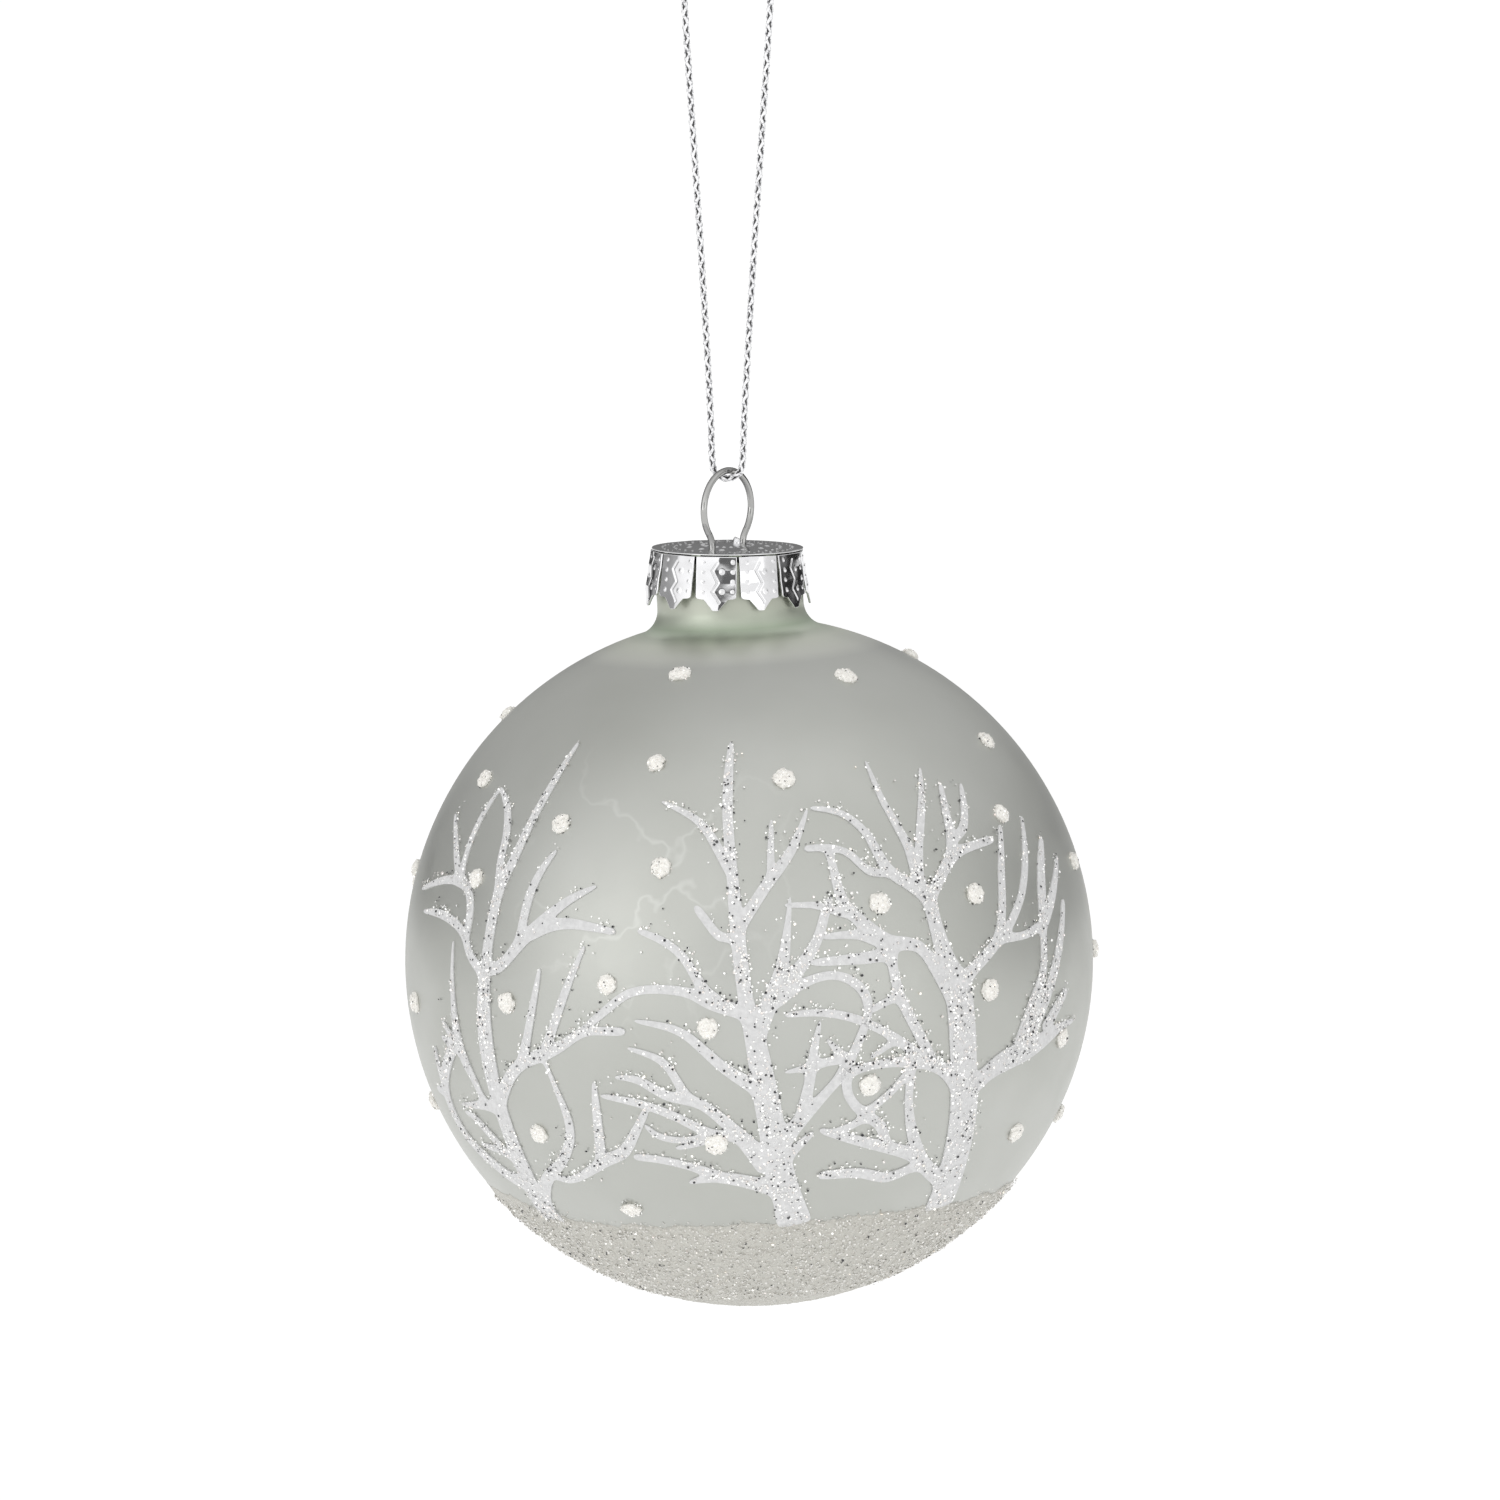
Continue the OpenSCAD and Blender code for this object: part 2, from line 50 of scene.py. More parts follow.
# Sizes that repeat the part's own.
BALL_R = 40 * MM
GLASS_T = 0.8 * MM
NECK_R = 8.5 * MM
FILLET_R = 3 * MM
LIP_DROP = 0.7 * MM
LEAN = math.radians(3)
BALL_DROP = 48 * MM
CAP_R = 8.8 * MM
CAP_T = 0.25 * MM
TAB_COUNT = 11
TAB_H = 4.9 * MM
TOOTH_H = 1.4 * MM
TAB_FLARE = math.radians(8)
TAB_TURN = math.radians(8)
RING_TURN = math.radians(52)
WIRE_R = 0.375 * MM
CORD_R = 0.425 * MM
SNOW_LAT = -42.0
SNOW_T = 0.4 * MM

RING_OUTER_R = 4.8 * MM
RING_RISE = 9.3 * MM                      # the ring's top above the cap's disc
RING_TOP_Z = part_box("hanger_wire")[1][2]
CAP_TOP_Z = RING_TOP_Z - RING_RISE
SEAT_Z = CAP_TOP_Z - CAP_T
RING_R = RING_OUTER_R - WIRE_R
RING_Z = RING_TOP_Z - RING_OUTER_R

# Takes a point from the ball's own frame, with its middle at the origin, to the row frame.
BALL_FRAME = (Matrix.Translation((0, 0, SEAT_Z)) @ Matrix.Rotation(-LEAN, 4, "Y")
              @ Matrix.Translation((0, 0, -BALL_DROP)))
BALL_MIDDLE = BALL_FRAME.translation
TO_BALL = BALL_FRAME.inverted()


# ---------------------------------------------------------------- materials

def new_material(name, colour, roughness, metallic=0.0):
    """A principled material, its node tree and its shader."""
    material = bpy.data.materials.new(name)
    material.use_nodes = True
    tree = material.node_tree
    shader = tree.nodes["Principled BSDF"]
    shader.inputs["Base Color"].default_value = (*colour, 1)
    shader.inputs["Roughness"].default_value = roughness
    shader.inputs["Metallic"].default_value = metallic
    return material, tree, shader


def noise_node(tree, scale, detail=3.0):
    """Noise in object space, scale cells to the metre."""
    coordinates = tree.nodes.new("ShaderNodeTexCoord")
    texture = tree.nodes.new("ShaderNodeTexNoise")
    texture.inputs["Scale"].default_value = scale
    texture.inputs["Detail"].default_value = detail
    tree.links.new(coordinates.outputs["Object"], texture.inputs["Vector"])
    return texture.outputs["Fac"]


def ramp_node(tree, value, stops):
    """A colour ramp over value, stops being (position, colour)."""
    ramp = tree.nodes.new("ShaderNodeValToRGB")
    elements = ramp.color_ramp.elements
    while len(elements) < len(stops):
        elements.new(0.5)
    for element, (position, colour) in zip(elements, stops):
        element.position = position
        element.color = (*colour, 1)
    tree.links.new(value, ramp.inputs["Fac"])
    return ramp.outputs["Color"]


def grey(level):
    """A grey as a colour."""
    return (level, level, level)


def add_bump(tree, shader, value, strength, distance):
    """Fine relief on a shader, distance metres deep."""
    bump = tree.nodes.new("ShaderNodeBump")
    bump.inputs["Strength"].default_value = strength
    bump.inputs["Distance"].default_value = distance
    tree.links.new(value, bump.inputs["Height"])
    tree.links.new(bump.outputs["Normal"], shader.inputs["Normal"])


def multiply(tree, first, second):
    """Two colours multiplied."""
    mix = tree.nodes.new("ShaderNodeMix")
    mix.data_type = "RGBA"
    mix.blend_type = "MULTIPLY"
    mix.inputs["Factor"].default_value = 1
    tree.links.new(first, mix.inputs["A"])
    tree.links.new(second, mix.inputs["B"])
    return mix.outputs["Result"]


def glass_material():
    """Satin silvered glass: grey-green, clouded a little, greener at the neck with painted light
    and painted shade round its foot, and with paler squiggle lines on one patch.
    """
    material, tree, shader = new_material("satin_glass", (0.55, 0.57, 0.52), 0.42, 0.85)
    clouds = ramp_node(tree, noise_node(tree, 45), [
        (0.3, (0.592, 0.602, 0.563)), (0.7, (0.65, 0.66, 0.626))])
    height = tree.nodes.new("ShaderNodeAttribute")
    height.attribute_name = "neck"
    # The green towards the neck is the glass's own. The lift above one on the shoulder under the
    # neck is painted light over a shadow band, the dark green ring at the neck's foot is painted
    # contact shade, and the slightly lower tint on the fillet above it is painted shade over a
    # reflected bright spot.
    neck_green_and_painted_light = ramp_node(tree, height.outputs["Fac"], [
        (0.0, grey(0.835)), (0.07, (1.0, 1.0, 0.98)), (0.17, (1.09, 1.11, 1.04)),
        (0.25, (0.86, 0.94, 0.82)), (0.29, (0.66, 0.75, 0.62)), (0.36, (0.74, 0.79, 0.70)),
        (0.50, (0.77, 0.79, 0.72)), (1.0, (0.77, 0.79, 0.71))])
    tinted = multiply(tree, clouds, neck_green_and_painted_light)
    lines = ramp_node(tree, noise_node(tree, 70, 4), [
        (0.0, grey(0)), (0.484, grey(0)), (0.5, grey(1)), (0.516, grey(0)), (1.0, grey(0))])
    # Paler squiggle lines over one patch of the upper left, fading out away from its middle.
    where = tree.nodes.new("ShaderNodeAttribute")
    where.attribute_name = "pale_lines"
    strength = multiply(tree, lines, where.outputs["Color"])
    pale_lines = tree.nodes.new("ShaderNodeMix")
    pale_lines.data_type = "RGBA"
    pale_lines.inputs["B"].default_value = (0.72, 0.73, 0.70, 1)
    tree.links.new(strength, pale_lines.inputs["Factor"])
    tree.links.new(tinted, pale_lines.inputs["A"])
    tree.links.new(pale_lines.outputs["Result"], shader.inputs["Base Color"])
    satin = ramp_node(tree, noise_node(tree, 120, 5), [(0.3, grey(0.38)), (0.7, grey(0.48))])
    tree.links.new(satin, shader.inputs["Roughness"])
    add_bump(tree, shader, noise_node(tree, 3000, 2), 0.15, 0.00005)
    return material


def paint_material():
    """Chalky white print, faintly mottled."""
    material, tree, shader = new_material("print_paint", (0.86, 0.86, 0.88), 0.75)
    mottle = ramp_node(tree, noise_node(tree, 1800, 4), [
        (0.35, (0.61, 0.61, 0.61)), (0.65, (0.70, 0.70, 0.70))])
    tree.links.new(mottle, shader.inputs["Base Color"])
    add_bump(tree, shader, noise_node(tree, 2500), 0.4, 0.0001)
    return material


def snow_material(name, low, high):
    """Glue full of fine glitter, with pale, dark and pinkish grains."""
    material, tree, shader = new_material(name, high, 0.55)
    base = ramp_node(tree, noise_node(tree, 3200, 6), [(0.35, low), (0.65, high)])
    coordinates = tree.nodes.new("ShaderNodeTexCoord")
    grains = tree.nodes.new("ShaderNodeTexVoronoi")
    grains.inputs["Scale"].default_value = 5200
    tree.links.new(coordinates.outputs["Object"], grains.inputs["Vector"])
    parted = tree.nodes.new("ShaderNodeSeparateColor")
    tree.links.new(grains.outputs["Color"], parted.inputs["Color"])
    speck = ramp_node(tree, parted.outputs["Red"], [
        (0.0, (0.80, 0.78, 0.76)), (0.15, (0.96, 0.94, 0.92)), (0.8, (1, 1, 0.98)),
        (1.0, (1, 1, 1))])
    tree.links.new(multiply(tree, base, speck), shader.inputs["Base Color"])
    shine = ramp_node(tree, parted.outputs["Green"], [(0.75, grey(0.6)), (0.9, grey(0.2))])
    tree.links.new(shine, shader.inputs["Roughness"])
    add_bump(tree, shader, grains.outputs["Distance"], 0.5, 0.0001)
    return material


def glitter_material(name, middling, pale, roughness):
    """Silver flakes. Each flake's own tone is on its faces: dark tones are painted dark
    reflections, and the brightest tones glow as painted glints.
    """
    material, tree, shader = new_material(name, pale, roughness, 0.6)
    tone = tree.nodes.new("ShaderNodeAttribute")
    tone.attribute_name = "tone"
    # Tones under 0.2 are near black: painted dark reflections, standing for flakes that mirror a
    # dark room.
    colour = ramp_node(tree, tone.outputs["Fac"], [
        (0.0, (0.03, 0.03, 0.035)), (0.2, (0.10, 0.10, 0.10)), (0.22, middling),
        (0.5, pale), (1.0, pale)])
    tree.links.new(colour, shader.inputs["Base Color"])
    # Tones above 0.84 glow white, warm or pink though no flake is a lamp: painted glints.
    painted_glint = ramp_node(tree, tone.outputs["Fac"], [
        (0.84, grey(0)), (0.86, (0.5, 0.40, 0.28)), (0.89, (0.5, 0.5, 0.47)),
        (0.97, (0.5, 0.5, 0.5)), (1.0, (0.5, 0.38, 0.38))])
    tree.links.new(painted_glint, shader.inputs["Emission Color"])
    shader.inputs["Emission Strength"].default_value = 1
    return material


def metal_material(name, colour, low, high, grain, edge=1.0):
    """Worn bright metal: roughness from low to high, and edge dims what it mirrors at a slant."""
    material, tree, shader = new_material(name, colour, low, 1.0)
    shader.inputs["Specular Tint"].default_value = (edge, edge, edge, 1)
    worn = ramp_node(tree, noise_node(tree, grain, 5), [(0.35, grey(low)), (0.7, grey(high))])
    tree.links.new(worn, shader.inputs["Roughness"])
    tarnish = ramp_node(tree, noise_node(tree, grain / 3, 4), [
        (0.3, tuple(0.86 * c for c in colour)), (0.6, colour)])
    tree.links.new(tarnish, shader.inputs["Base Color"])
    add_bump(tree, shader, noise_node(tree, grain * 2), 0.12, 0.00003)
    return material


def cord_materials():
    """Lurex strands, and the shade between them."""
    strand, tree, shader = new_material("lurex_strand", (0.95, 0.95, 0.96), 0.25, 0.35)
    thread = ramp_node(tree, noise_node(tree, 4000, 2), [
        (0.36, (0.36, 0.36, 0.38)), (0.49, (0.93, 0.93, 0.94))])
    tree.links.new(thread, shader.inputs["Base Color"])
    add_bump(tree, shader, noise_node(tree, 6000), 0.3, 0.00004)
    # The near-black core is painted shade for the gaps between the strands.
    core, tree, shader = new_material("lurex_gap_shade", (0.2, 0.2, 0.21), 0.5, 0.3)
    gap_shade_noise = ramp_node(tree, noise_node(tree, 4000), [(0.4, grey(0.02)), (0.6, grey(0.08))])
    tree.links.new(gap_shade_noise, shader.inputs["Base Color"])
    return strand, core


# ---------------------------------------------------------------- mesh helpers

def make_object(name, vertices, faces, materials, smooth=True):
    """A mesh object in the scene."""
    mesh = bpy.data.meshes.new(name)
    mesh.from_pydata([tuple(v) for v in vertices], [], faces)
    mesh.validate()
    mesh.polygons.foreach_set("use_smooth", [smooth] * len(mesh.polygons))
    for material in materials:
        mesh.materials.append(material)
    piece = bpy.data.objects.new(name, mesh)
    bpy.context.scene.collection.objects.link(piece)
    return piece


def place(piece, body, slot, *nodes):
    """Hangs a piece on its body and hides the CAD nodes it stands for. slot, where its finish
    comes from, is not used.
    """
    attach(piece, body)
    if nodes:
        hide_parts(*nodes)


def tube_mesh(points, radii, sides, closed=False, first_index=0):
    """Vertices and faces of a round tube through points, with flat ends."""
    count = len(points)
    vertices, faces = [], []
    side = None
    for i, point in enumerate(points):
        before = points[i - 1] if (i > 0 or closed) else points[0]
        after = points[(i + 1) % count] if (i < count - 1 or closed) else points[-1]
        along = (after - before).normalized()
        if side is None:
            side = along.orthogonal().normalized()
        side = (side - along * side.dot(along)).normalized()
        other = along.cross(side)
        for k in range(sides):
            turn = math.tau * k / sides
            vertices.append(point + radii[i] * (math.cos(turn) * side + math.sin(turn) * other))
    for i in range(count if closed else count - 1):
        here, there = i * sides, (i + 1) % count * sides
        for k in range(sides):
            following = (k + 1) % sides
            faces.append((here + k, here + following, there + following, there + k))
    if not closed:
        faces.append(tuple(range(sides - 1, -1, -1)))
        faces.append(tuple((count - 1) * sides + k for k in range(sides)))
    return vertices, [tuple(first_index + i for i in face) for face in faces]


def smooth_route(points, steps):
    """A Catmull-Rom curve through points."""
    ends = [2 * points[0] - points[1], *points, 2 * points[-1] - points[-2]]
    curve = []
    for a, b, c, d in zip(ends, ends[1:], ends[2:], ends[3:]):
        for k in range(steps):
            t = k / steps
            curve.append(0.5 * (2 * b + (c - a) * t + (2 * a - 5 * b + 4 * c - d) * t * t
                                + (3 * b - a - 3 * c + d) * t ** 3))
    return curve + [points[-1]]


def on_ball(lon, lat, radius):
    """A point of the ball by degrees of longitude from its front and of latitude."""
    lon, lat = math.radians(lon), math.radians(lat)
    return BALL_FRAME @ (radius * Vector((math.cos(lat) * math.sin(lon),
                                          -math.cos(lat) * math.cos(lon), math.sin(lat))))


# ---------------------------------------------------------------- camera

def make_camera():
    """A long lens, seven degrees above the middle of the ball."""
    distance = 2.0
    elevation = math.radians(7)
    frame_half = 2.18023                  # the picture's half width in ball radii
    aim_rise = 0.609                      # its middle above the ball's, in ball radii
    data = bpy.data.cameras.new("camera")
    data.sensor_width = 36
    data.lens = 18 * distance / (frame_half * BALL_R) * math.cos(math.asin(BALL_R / distance))
    data.clip_end = 50
    camera = bpy.data.objects.new("camera", data)
    bpy.context.scene.collection.objects.link(camera)
    eye = BALL_MIDDLE + distance * Vector((0, -math.cos(elevation), math.sin(elevation)))
    image_up = Vector((0, math.sin(elevation), math.cos(elevation)))
    aim = BALL_MIDDLE + aim_rise * BALL_R * image_up + Vector((0.1 * MM, 0, 0))
    camera.location = eye
    camera.rotation_euler = (aim - eye).to_track_quat("-Z", "Y").to_euler()
    bpy.context.scene.camera = camera


# ---------------------------------------------------------------- cord

CORD_ROUTE = [  # x, z in millimetres, as the part's own route
    (5.7, -14.2), (5.3, -19), (4.6, -30), (3.8, -42), (3, -54), (2.4, -64), (2, -71),
    (1.85, -75), (1.75, -77.4), (1.5, -78.45), (0.9, -79.05), (0, -79.3),
    (-0.9, -79.05), (-1.5, -78.45), (-1.75, -77.4), (-1.85, -75), (-2, -71),
    (-2.4, -64), (-3, -54), (-3.8, -42), (-4.6, -30), (-5.3, -19), (-5.9, -11),
    (-6.2, -5.8), (-5.4, -2.7), (-3.1, -0.4), (0, 0.43), (3.1, -0.4), (5.4, -2.7),
    (6.2, -5.8), (6.1, -9), (5.9, -11.8)]
KNOT_AT = Vector((5.8, 0, -13)) * MM


def even_route(points, spacing):
    """Points a constant distance apart along a line."""
    out = [points[0]]
    left = spacing
    for a, b in zip(points, points[1:]):
        length = (b - a).length
        while length >= left:
            a = a + (b - a) * (left / length)
            length -= left
            left = spacing
            out.append(a)
        left -= length
    return out


def make_cord():
    """A round braid of four flat lurex strands over a near-black core tube, which is painted
    shade in the gaps between them.
    """
    pitch = 3.66 * MM
    lay_r, wave = 0.265 * MM, 0.05 * MM
    half_wide, half_thick = 0.265 * MM, 0.11 * MM
    step = 0.11 * MM
    sides = 8
    route = [Vector((x, 0, z)) * MM for x, z in CORD_ROUTE]
    line = even_route(smooth_route(route, 8), step)
    across = Vector((0, 1, 0))
    last = len(line) - 1
    # The core tube under the strands, whose near-black finish is painted shade.
    vertices, faces = tube_mesh(line[::4] + [line[-1]], [0.2 * MM] * (last // 4 + 2), 8)
    kinds = [1] * len(faces)
    for way, start in ((1, 0), (1, math.pi), (-1, math.pi / 2), (-1, 1.5 * math.pi)):
        first = len(vertices)
        for i, point in enumerate(line):
            along = (line[min(i + 1, last)] - line[max(i - 1, 0)]).normalized()
            side = across.cross(along)
            advance = math.tau * i * step / pitch
            turn = way * advance + start
            out = math.cos(turn) * across + math.sin(turn) * side
            slant = math.atan2(math.tau * lay_r, pitch) * way
            flat = (math.cos(slant) * along.cross(out) - math.sin(slant) * along)
            middle = point + (lay_r + way * wave * math.sin(2 * advance)) * out
            for k in range(sides):
                a = math.tau * k / sides
                vertices.append(middle + half_wide * math.cos(a) * flat
                                + half_thick * math.sin(a) * out)
        for i in range(last):
            for k in range(sides):
                a, b = first + i * sides + k, first + i * sides + (k + 1) % sides
                faces.append((a, b, b + sides, a + sides))
        faces.append(tuple(first + k for k in range(sides - 1, -1, -1)))
        faces.append(tuple(first + last * sides + k for k in range(sides)))
        kinds += [0] * (last * sides + 2)
    braid = make_object("cord_braid", vertices, faces, cord_materials())
    braid.data.polygons.foreach_set("material_index", kinds)
    place(braid, "cord", "silver_cord", "hanging_cord")


def make_knot():
    """A tight overhand knot with two short tails."""
    turns = 72
    size = 0.30 * MM
    loop = []
    for i in range(turns):
        t = math.tau * i / turns
        trefoil = Vector((math.sin(t) + 2 * math.sin(2 * t), -math.sin(3 * t) * 1.3,
                          1.15 * (math.cos(t) - 2 * math.cos(2 * t))))
        loop.append(KNOT_AT + size * trefoil)
    vertices, faces = tube_mesh(loop, [CORD_R * 0.95] * turns, 12, closed=True)
    for lean in (35, 75):
        way = Vector((math.sin(math.radians(lean)), 0, math.cos(math.radians(lean))))
        tail = [KNOT_AT + way * (s * 0.5 * MM) for s in range(10)]
        radii = [CORD_R * (0.85 if i < 7 else 0.85 - 0.15 * (i - 7)) for i in range(10)]
        more = tube_mesh(tail, radii, 10, first_index=len(vertices))
        vertices += more[0]
        faces += more[1]
    knot = make_object("cord_knot_tied", vertices, faces, cord_materials()[:1])
    place(knot, "cord", "silver_cord", "cord_knot")


# ---------------------------------------------------------------- wire and cap

def make_wire(steel):
    """One length of wire: spring leg, ring, spring leg."""
    arc_end = 40
    foot_z = SEAT_Z - 24 * MM
    bend_z = SEAT_Z - 4 * MM
    straight_z = CAP_TOP_Z + 0.6 * MM
    gap, spread = 2.9 * MM, 5.6 * MM
    leg = [(spread, foot_z)]
    leg += [(spread + (gap - spread) * t / 8, foot_z + (bend_z - foot_z) * t / 8)
            for t in range(1, 8)]
    leg += [(gap, bend_z), (gap, (bend_z + straight_z) / 2), (gap, straight_z)]
    ring = [(RING_R * math.cos(math.radians(a)), RING_Z + RING_R * math.sin(math.radians(a)))
            for a in range(-arc_end, 181 + arc_end, 4)]
    flat = leg + ring + [(-x, z) for x, z in reversed(leg)]
    turn = Matrix.Rotation(RING_TURN, 3, "Z")
    line = smooth_route([turn @ Vector((x, 0, z)) for x, z in flat], 3)
    vertices, faces = tube_mesh(line, [WIRE_R] * len(line), 20)
    wire = make_object("hanger_wire_bent", vertices, faces, [steel])
    place(wire, "wire", "wire_steel", "hanger_wire")


def bump_at(x, y, cx, cy, radius, height):
    """A round dimple's rise at (x, y)."""
    away = math.hypot(x - cx, y - cy) / radius
    return height * math.cos(away * math.pi / 2) ** 2 if away < 1 else 0.0


ZIGZAG = [(0.0, 0.3), (0.74, 0.1), (1.66, -0.46), (3.04, 0.26), (4.08, -0.42), (5.27, 0.4),
          (6.4, 0.2)]                     # depth down a tab and place across it, in mm
DOT_ROWS = (0.6, 1.75, 2.9, 4.05)         # depths of the small dots down a tab, in mm
LARGE_DOT_ROWS = (1.75, 4.05)
CREASE = math.tan(math.radians(4.5))
TAB_GAP = 0.44                            # between tabs at the root, in mm
CORNER = 0.35                             # radius of a tab's lower corners, in mm
SHOULDER = 0.07                           # height of the step in to the tooth, in mm
DOME = 0.45 * MM
DOME_R = 7 * MM
DISC_DOTS = ((7.6, 44, 0.28), (6.2, 33, 0.28), (4.6, 11, 0.5), (2.9, 22, 0.28))
# each ring of dots has its radius in mm, how many there are, and a dot's radius in mm


def zigzag_x(depth):
    """The zigzag crease's place across a tab, in millimetres, by depth down it."""
    for (d0, x0), (d1, x1) in zip(ZIGZAG, ZIGZAG[1:]):
        if depth <= d1:
            return x0 + (x1 - x0) * (depth - d0) / (d1 - d0)
    return ZIGZAG[-1][1]


def tab_rise(x, depth, half, seed):
    """How far a tab's face stands out of its flat, in millimetres, at x across and depth down."""
    off = x - zigzag_x(depth)
    rise = 0.16 - CREASE * math.sqrt(off * off + 0.02)
    if 0.7 < depth < 5.4:
        rise -= 0.12 * math.exp(-(off / 0.09) ** 2)
    for row in DOT_ROWS:
        rise += bump_at(x, depth, -1.5, row, 0.24, 0.09)
        rise += bump_at(x, depth, half - 0.45, row, 0.24, 0.09)
    for row in LARGE_DOT_ROWS:
        rise += bump_at(x, depth, 0.7, row, 0.36, 0.11)
    rise += 0.05 * noise.noise(Vector((x * 0.5, depth * 0.4, seed * 7.3)))
    return rise


def tab_half_width(depth, half):
    """A tab's half width, in millimetres, at a depth: rounded shoulders, then a blunt tooth."""
    body, tip = TAB_H / MM, (TAB_H + TOOTH_H) / MM
    tooth_half = 1.4
    if depth < body - CORNER:
        return half
    if depth < body:
        into = (depth - body + CORNER) / CORNER
        return half - CORNER * (1 - math.sqrt(max(0.0, 1 - into * into)))
    if depth < body + SHOULDER:
        return half - CORNER + (tooth_half - half + CORNER) * (depth - body) / SHOULDER
    into = (depth - body - SHOULDER) / (tip - body - SHOULDER)
    if into < 0.8:
        return tooth_half - 0.9 * into / 0.8
    return max(0.02, 0.5 * math.sqrt(max(0.0, 1 - ((into - 0.8) / 0.2) ** 2)))


def add_sheet(vertices, faces, outer, inner, rows, columns, closed_round):
    """A closed sheet between two grids of points with rows by columns points."""
    first = len(vertices)
    size = rows * columns
    vertices.extend(outer)
    vertices.extend(inner)
    wrap = columns if closed_round else columns - 1
    for i in range(rows - 1):
        for j in range(wrap):
            a, b = first + i * columns + j, first + i * columns + (j + 1) % columns
            c, d = a + columns, b + columns
            faces.append((a, c, d, b))
            faces.append((size + a, size + b, size + d, size + c))
    last_row = (rows - 1) * columns
    if closed_round:
        ring = [last_row + j for j in range(columns - 1, -1, -1)]
    else:
        ring = [*range(columns)]
        ring += [i * columns + columns - 1 for i in range(1, rows)]
        ring += [last_row + j for j in range(columns - 2, -1, -1)]
        ring += [i * columns for i in range(rows - 2, 0, -1)]
    for a, b in zip(ring, ring[1:] + ring[:1]):
        faces.append((first + a, first + b, first + size + b, first + size + a))
    return first


def disc_rise(x, y, radius, angle):
    """How far the disc's face stands above its flat: a low dome with rings of dots."""
    rise = DOME * math.cos(min(1, radius / DOME_R) * math.pi / 2) ** 2
    for ring_r, count, size in DISC_DOTS:
        if abs(radius / MM - ring_r) < 0.5:
            near = round(angle / math.tau * count) / count * math.tau
            rise += MM * bump_at(x / MM, y / MM, ring_r * math.cos(near),
                                 ring_r * math.sin(near), size, 0.13)
    return rise + 0.03 * MM * noise.noise(Vector((x, y, 3)) * 400)


def add_disc(vertices, faces):
    """The cap's top, rolled over at its edge."""
    columns, rings = 264, 44
    roll, drop = 0.07 * MM, 0.13 * MM
    flat_r = CAP_R - roll
    shrink = 1 - CAP_T / CAP_R
    profile = [(flat_r * (i + 1) / rings, 0.0) for i in range(rings)]
    profile += [(flat_r + roll * math.sin(a), -roll * (1 - math.cos(a)))
                for a in (math.radians(15 * k) for k in range(1, 7))]
    profile.append((CAP_R, -drop))
    outer, inner = [], []
    for radius, fall in profile:
        thick = CAP_T if fall > -roll else 0
        for j in range(columns):
            angle = math.tau * j / columns
            x, y = radius * math.cos(angle), radius * math.sin(angle)
            z = CAP_TOP_Z + (disc_rise(x, y, radius, angle) if fall == 0.0 else fall)
            outer.append(Vector((x, y, z)))
            inner.append(Vector((x * shrink, y * shrink, z - thick)))
    rows = len(profile)
    first = add_sheet(vertices, faces, outer, inner, rows, columns, True)
    below = first + rows * columns
    middle = len(vertices)
    vertices.append(Vector((0, 0, CAP_TOP_Z + DOME)))
    vertices.append(Vector((0, 0, CAP_TOP_Z + DOME - CAP_T)))
    for j in range(columns):
        following = (j + 1) % columns
        faces.append((middle, first + j, first + following))
        faces.append((middle + 1, below + following, below + j))


def add_tabs(vertices, faces):
    """The embossed tabs round the cap, each leaning out a little differently."""
    half = CAP_R / MM * math.tan(math.pi / TAB_COUNT) - TAB_GAP / 2
    total = (TAB_H + TOOTH_H) / MM
    body = TAB_H / MM
    tooth = body + SHOULDER
    depths = [(body - CORNER) * i / 44 for i in range(45)]
    depths += [body - CORNER + CORNER * i / 6 for i in range(1, 7)]
    depths += [body + SHOULDER / 2, tooth]
    depths += [tooth + (total - tooth) * i / 16 for i in range(1, 17)]
    across = 56
    for tab in range(TAB_COUNT):
        turn = Matrix.Rotation(TAB_TURN + math.tau * (tab + 0.5) / TAB_COUNT, 3, "Z")
        lean = TAB_FLARE + math.radians(3) * noise.noise(Vector((tab * 3.7, 0.5, 0)))
        tilt = Matrix.Rotation(-math.pi / 2 - lean, 3, "X")
        root = Vector((0, -CAP_R + 0.22 * MM, CAP_TOP_Z - 0.3 * MM))
        outer, inner = [], []
        for depth in depths:
            width = tab_half_width(depth, half)
            for k in range(across):
                x = width * (2 * k / (across - 1) - 1)
                rise = tab_rise(x, depth, half, tab)
                curve = 0.04 * (1 - (x / half) ** 2)
                for grid, lift in ((outer, rise), (inner, rise - CAP_T / MM)):
                    local = tilt @ (Vector((x, depth, -lift - curve)) * MM)
                    grid.append(turn @ (local + root))
        add_sheet(vertices, faces, outer, inner, len(depths), across, False)


def add_stub(vertices, faces):
    """The small punched stub beside a wire leg."""
    stub = [Vector((1.1, 0.5, -0.1)), Vector((1.1, 0.5, 0.55)), Vector((1.15, 0.5, 0.9)),
            Vector((1.2, 0.5, 1.0))]
    more = tube_mesh([p * MM + Vector((0, 0, CAP_TOP_Z)) for p in stub],
                     [0.6 * MM, 0.5 * MM, 0.45 * MM, 0.4 * MM], 8, first_index=len(vertices))
    vertices.extend(more[0])
    faces.extend(more[1])


def make_cap(chrome):
    """The stamped crown."""
    vertices, faces = [], []
    add_disc(vertices, faces)
    add_tabs(vertices, faces)
    add_stub(vertices, faces)
    cap = make_object("cap_crown_stamped", vertices, faces, [chrome])
    place(cap, "cap", "cap_metal", "cap_crown")


# ---------------------------------------------------------------- ball

